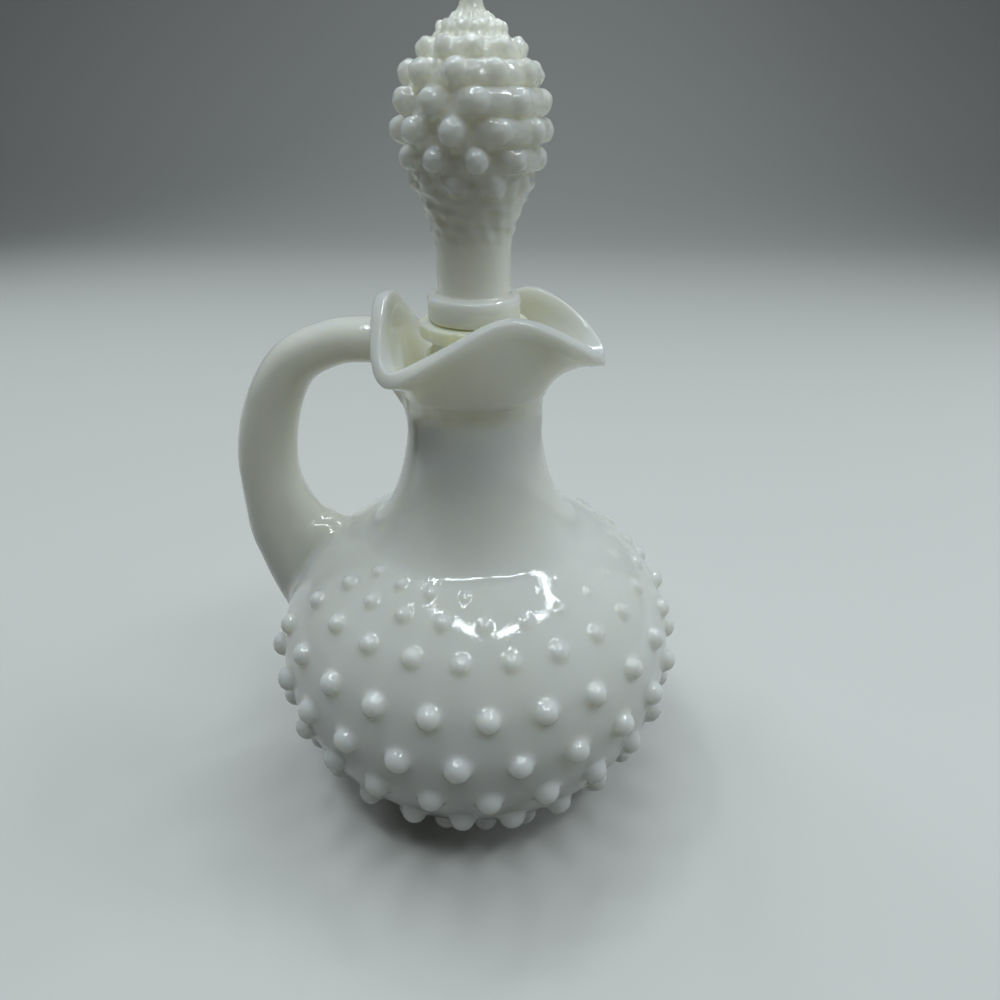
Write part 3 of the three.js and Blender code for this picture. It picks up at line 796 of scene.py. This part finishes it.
def cone_waves(points):
    """The unevenness of the cone, where the lowest tiers are nearly melted away."""
    angle, height = angle_of(points), points[..., 2]
    low, full, fading, gone = CONE_SPAN
    waves = sum(
        share * np.sin(count * angle + 2 * math.pi * rise * height + count)
        for count, rise, share in CONE_WAVES
    )
    return CONE_DEPTH * waves * smoothstep(height, low, full) * (1 - smoothstep(height, fading, gone))


def finial_skin():
    outline = finial_outline(CONE_START, FINIAL_TOP - TIERS_TO / 2, FINIAL_STEPS)
    bare = turned(outline, FINIAL_COLUMNS)
    way = unit(np.gradient(outline, axis=0))
    outward = turned(np.stack([way[:, 1], -way[:, 0]], -1), FINIAL_COLUMNS)
    rows = finial_rows()
    raised = bands(bare, outline, rows)
    for row, (_, centre, size) in enumerate(nearest_nails(bare, rows, TIER_NAILS, TIER_NAIL_SPREAD)):
        nail, rise = rows[row][2:]
        cap = cap_height(np.linalg.norm(bare - centre, axis=-1), nail * size, rise * size)
        raised = soft_max(cap, raised, TIER_NAIL_FILLET)
    raised = raised + wrinkles(bare) * smoothstep(bare[..., 2], *WRINKLE_START) + cone_waves(bare)
    return bare + outward * raised[..., None], outline[-1]


def peg_outline():
    """The stopper below its finial: peg, seat, a collar of two soft beads, and shank."""
    bead = COLLAR_HEIGHT / 4
    return rounded([
        (0, -PEG_LENGTH), (PEG_TIP_RADIUS, -PEG_LENGTH), (PEG_RADIUS, 0), (COLLAR_RADIUS - COLLAR_BEVEL, 0),
        (COLLAR_RADIUS, bead), (COLLAR_RADIUS - COLLAR_GROOVE, 2 * bead), (COLLAR_RADIUS, 3 * bead),
        (COLLAR_RADIUS - COLLAR_BEVEL, COLLAR_HEIGHT), (SHANK_RADIUS, COLLAR_HEIGHT),
        (SHANK_RADIUS, CONE_START),
    ], PEG_SOFTNESS)


def knob_outline(start):
    middle = FINIAL_TOP + KNOB_HEIGHT - KNOB_RADIUS
    corner = (KNOB_RADIUS, FINIAL_TOP - KNOB_RADIUS)
    flare = bezier([start, corner, (KNOB_RADIUS, middle)], KNOB_FLARE_STEPS)[1:]
    turns = np.linspace(0, math.pi / 2, KNOB_CAP_STEPS + 1)[1:-1]
    return [*flare, *[(KNOB_RADIUS * math.cos(a), middle + KNOB_RADIUS * math.sin(a)) for a in turns]]


def stopper_glass(material):
    finial, top = finial_skin()
    knob = turned(knob_outline(top), FINIAL_COLUMNS)
    pinched = wrinkles(knob) * smoothstep(np.hypot(knob[..., 0], knob[..., 1]), KNOB_RADIUS, 2 * KNOB_RADIUS)
    knob = knob + unit(knob * (1, 1, 0)) * pinched[..., None]
    peg = turned(spaced(peg_outline(), PEG_STEP)[1:-1], FINIAL_COLUMNS)
    points = np.concatenate([peg, finial, knob], 1)
    piece = closed_mesh("stopper_glass", points, (0, 0, -PEG_LENGTH), (0, 0, FINIAL_TOP + KNOB_HEIGHT))
    place_plug(piece)
    dress(piece, "finial", ["stopper"], material)


def place_plug(piece):
    seat = Matrix.Translation((0, 0, (NECK_TOP + PLUG_RISE) * MM))
    piece.data.transform(seat @ Matrix.Rotation(PLUG_TURN, 4, "Z"))


def peg_radius(height):
    return mix(PEG_RADIUS, PEG_TIP_RADIUS, -height / PEG_LENGTH)


def bore_radius(height):
    return mix(BORE_TOP_RADIUS, BORE_LOW_RADIUS, (NECK_TOP - height) / BORE_LENGTH)


def fin(height, radius):
    """One thin fin on the sleeve's outside, from below to above."""
    core = peg_radius(height) + PEG_CLEARANCE + SLEEVE_WALL
    return [
        (core, height - FIN_ROOT / 2), (radius, height - FIN_TIP / 2),
        (radius, height + FIN_TIP / 2), (core, height + FIN_ROOT / 2),
    ]


def sleeve_outline():
    top = -SEAT_CLEARANCE
    bottom, flange = top - SLEEVE_LENGTH, top - FLANGE_HEIGHT
    inside = {height: peg_radius(height) + PEG_CLEARANCE for height in (top, flange, bottom)}
    fins = []
    for depth in sorted(BORE_FINS, reverse=True):
        fins += fin(-depth, bore_radius(NECK_TOP + PLUG_RISE - depth) - BORE_CLEARANCE)
    middle = (inside[bottom] + SLEEVE_WALL / 2, bottom)
    return rounded([
        middle, (inside[bottom] + SLEEVE_WALL, bottom), *fins, *fin(-UPPER_FIN[0], UPPER_FIN[1]),
        (inside[flange] + SLEEVE_WALL, flange), (FLANGE_RADIUS, flange), (FLANGE_RADIUS, top),
        (inside[top], top), (inside[bottom], bottom), middle,
    ], SLEEVE_SOFTNESS, 3)


def wear(points):
    """Moves the flange's edge in by small uneven nicks."""
    chance = np.random.default_rng(SEED + 2)
    angle = angle_of(points)
    radius = np.hypot(points[..., 0], points[..., 1])
    waves = sum(
        np.sin(count * angle + chance.uniform(0, 2 * math.pi) + points[..., 2]) for count in FLANGE_NICKS
    )
    nicks = np.clip(waves / len(FLANGE_NICKS) + NICK_LEVEL, 0, 1)
    edge = smoothstep(radius, FLANGE_RADIUS - NICK_REACH, FLANGE_RADIUS)
    edge = edge * (points[..., 2] > -FLANGE_HEIGHT - NICK_BELOW)
    return points - unit(points * (1, 1, 0)) * (FLANGE_WEAR * edge * nicks)[..., None]


def sleeve_plastic(material):
    points = wear(turned(spaced(sleeve_outline(), SLEEVE_STEP)[:-1], SLEEVE_COLUMNS))
    piece = closed_mesh("sleeve_plastic", points)
    place_plug(piece)
    dress(piece, "plug", ["stopper_sleeve"], material)


def new_material(name):
    material = bpy.data.materials.new(name)
    material.use_nodes = True
    tree = material.node_tree
    return material, tree, tree.nodes["Principled BSDF"]


def noise(tree, scale, detail):
    """Noise in the piece's own coordinates, which are in metres."""
    place = tree.nodes.get("place") or tree.nodes.new("ShaderNodeTexCoord")
    place.name = "place"
    node = tree.nodes.new("ShaderNodeTexNoise")
    node.inputs["Scale"].default_value = scale
    node.inputs["Detail"].default_value = detail
    tree.links.new(place.outputs["Object"], node.inputs["Vector"])
    return node.outputs["Fac"]


def ramp(tree, value, stops):
    node = tree.nodes.new("ShaderNodeValToRGB")
    for element, (position, colour) in zip(node.color_ramp.elements, stops):
        element.position = position
        element.color = (*colour, 1)
    tree.links.new(value, node.inputs["Fac"])
    return node.outputs["Color"]


def bump(tree, height, strength, distance, normal=None):
    node = tree.nodes.new("ShaderNodeBump")
    node.inputs["Strength"].default_value = strength
    node.inputs["Distance"].default_value = distance
    tree.links.new(height, node.inputs["Height"])
    if normal is not None:
        tree.links.new(normal, node.inputs["Normal"])
    return node.outputs["Normal"]


def varied(tree, socket, size, stops):
    """Moves a socket's value along a ramp, by noise of a size."""
    tree.links.new(ramp(tree, noise(tree, *size), stops), socket)


def translucent(shader, weight, radius, scale):
    shader.inputs["Subsurface Weight"].default_value = weight
    shader.inputs["Subsurface Radius"].default_value = radius
    shader.inputs["Subsurface Scale"].default_value = scale


def uneven(tree, shader, layers):
    """Layers of fine unevenness, each on top of the one before."""
    normal = None
    for size, strength, depth in layers:
        normal = bump(tree, noise(tree, *size), strength, depth, normal)
    tree.links.new(normal, shader.inputs["Normal"])


def opal_glass():
    """White glass, slightly cloudy and warm inside, with the uneven surface of pressed and fired glass."""
    material, tree, shader = new_material("opal_glass")
    varied(tree, shader.inputs["Base Color"], *GLASS_TINT)
    varied(tree, shader.inputs["Roughness"], *GLASS_ROUGHNESS)
    shader.inputs["IOR"].default_value = GLASS_IOR
    shader.inputs["Specular IOR Level"].default_value = GLASS_SPECULAR
    translucent(shader, *GLASS_SUBSURFACE)
    uneven(tree, shader, GLASS_LAYERS)
    return material


def aged_plastic():
    """Soft plastic, yellowed and stained, which lets some light through."""
    material, tree, shader = new_material("aged_plastic")
    varied(tree, shader.inputs["Base Color"], *PLASTIC_TINT)
    varied(tree, shader.inputs["Roughness"], *PLASTIC_ROUGHNESS)
    translucent(shader, *PLASTIC_SUBSURFACE)
    uneven(tree, shader, PLASTIC_LAYERS)
    return material


def seen_or_thrown(tree, seen_colour, thrown_colour):
    """One colour for a thing that is seen, directly, mirrored or through glass, and one for its light."""
    path = tree.nodes.new("ShaderNodeLightPath")
    seen = path.outputs["Is Camera Ray"]
    for kind in ("Is Glossy Ray", "Is Transmission Ray"):
        either = tree.nodes.new("ShaderNodeMath")
        either.operation = "MAXIMUM"
        tree.links.new(seen, either.inputs[0])
        tree.links.new(path.outputs[kind], either.inputs[1])
        seen = either.outputs["Value"]
    return ramp(tree, seen, [(0, thrown_colour), (1, seen_colour)])


def floor_material():
    """Paler where it is seen than for the light that it throws back."""
    material, tree, shader = new_material("floor")
    tree.links.new(seen_or_thrown(tree, FLOOR_SEEN, FLOOR_THROWN), shader.inputs["Base Color"])
    shader.inputs["Roughness"].default_value = FLOOR_ROUGHNESS
    return material


def floor():
    """A pale table that curves up into a backdrop behind the object."""
    edges = [(-FLOOR_SIDE, 0), (BACKDROP_PLACE, 0), (BACKDROP_PLACE, BACKDROP_HEIGHT)]
    outline = rounded(edges, BACKDROP_CURVE, BACKDROP_STEPS)
    corners = [(x * MM, y * MM, z * MM) for y, z in outline for x in (-FLOOR_SIDE, FLOOR_SIDE)]
    faces = [(2 * i, 2 * i + 1, 2 * i + 3, 2 * i + 2) for i in range(len(outline) - 1)]
    mesh = bpy.data.meshes.new("floor")
    mesh.from_pydata(corners, [], faces)
    stage = bpy.data.objects.new("floor", mesh)
    stage.rotation_euler.z = PHOTO_TURN
    bpy.context.scene.collection.objects.link(stage)
    smooth(stage)
    mesh.materials.append(floor_material())
    stage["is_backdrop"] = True


def photo_place(x, y, z):
    """A point of the photograph's frame in the object's frame, in metres."""
    return Matrix.Rotation(PHOTO_TURN, 4, "Z") @ Vector((x * MM, y * MM, z * MM))


def camera():
    data = bpy.data.cameras.new("camera")
    data.lens = CAMERA_LENS
    data.sensor_width = CAMERA_SENSOR
    data.clip_start, data.clip_end = CAMERA_REACH
    viewer = bpy.data.objects.new("camera", data)
    bpy.context.scene.collection.objects.link(viewer)
    facing = (
        Matrix.Rotation(PHOTO_TURN - CAMERA_YAW, 4, "Z")
        @ Matrix.Rotation(math.pi / 2 - CAMERA_PITCH, 4, "X")
        @ Matrix.Rotation(CAMERA_ROLL, 4, "Z")
    )
    viewer.matrix_world = Matrix.Translation(photo_place(0, -CAMERA_BACK, CAMERA_HEIGHT)) @ facing
    bpy.context.scene.camera = viewer


def area_lamp(name, size, power):
    data = bpy.data.lights.new(name, "AREA")
    data.shape = "RECTANGLE"
    data.size, data.size_y = (side * MM for side in size)
    data.energy = power
    data.color = LAMP_COLOUR
    lamp = bpy.data.objects.new(name, data)
    bpy.context.scene.collection.objects.link(lamp)
    return lamp


def lamps():
    """Lamps in a ring overhead, which every nail mirrors as a small ring, and two soft panels."""
    x, y, z = RING_PLACE
    across, back = RING_RADII
    for number in range(RING_LAMPS):
        turn = 2 * math.pi * number / RING_LAMPS
        lamp = area_lamp(f"ring_lamp_{number}", RING_LAMP_SIZE, RING_POWER / RING_LAMPS)
        lamp.location = photo_place(x - across * math.sin(turn), y + back * math.cos(turn), z)
        lamp.rotation_euler.z = PHOTO_TURN + turn
    for name, (place, size, power) in {"right_panel": RIGHT_PANEL, "back_panel": BACK_PANEL}.items():
        panel = area_lamp(name, size, power)
        panel.location = photo_place(*place)
        way = photo_place(0, 0, NECK_TOP) - panel.location
        panel.rotation_euler = way.to_track_quat("-Z", "Y").to_euler()
        panel.visible_glossy = False


def room():
    world = bpy.data.worlds.new("room")
    world.use_nodes = True
    tree = world.node_tree
    tree.links.new(seen_or_thrown(tree, ROOM_SEEN, ROOM_THROWN), tree.nodes["Background"].inputs["Color"])
    bpy.context.scene.world = world


opal = opal_glass()
vessel_glass(opal)
stopper_glass(opal)
sleeve_plastic(aged_plastic())
floor()
camera()
lamps()
room()
bpy.context.scene.view_settings.view_transform = "Standard"

boxes = {"cad": cad_box, "visual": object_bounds()}
{name: [list(corner) for corner in box] for name, box in boxes.items()}
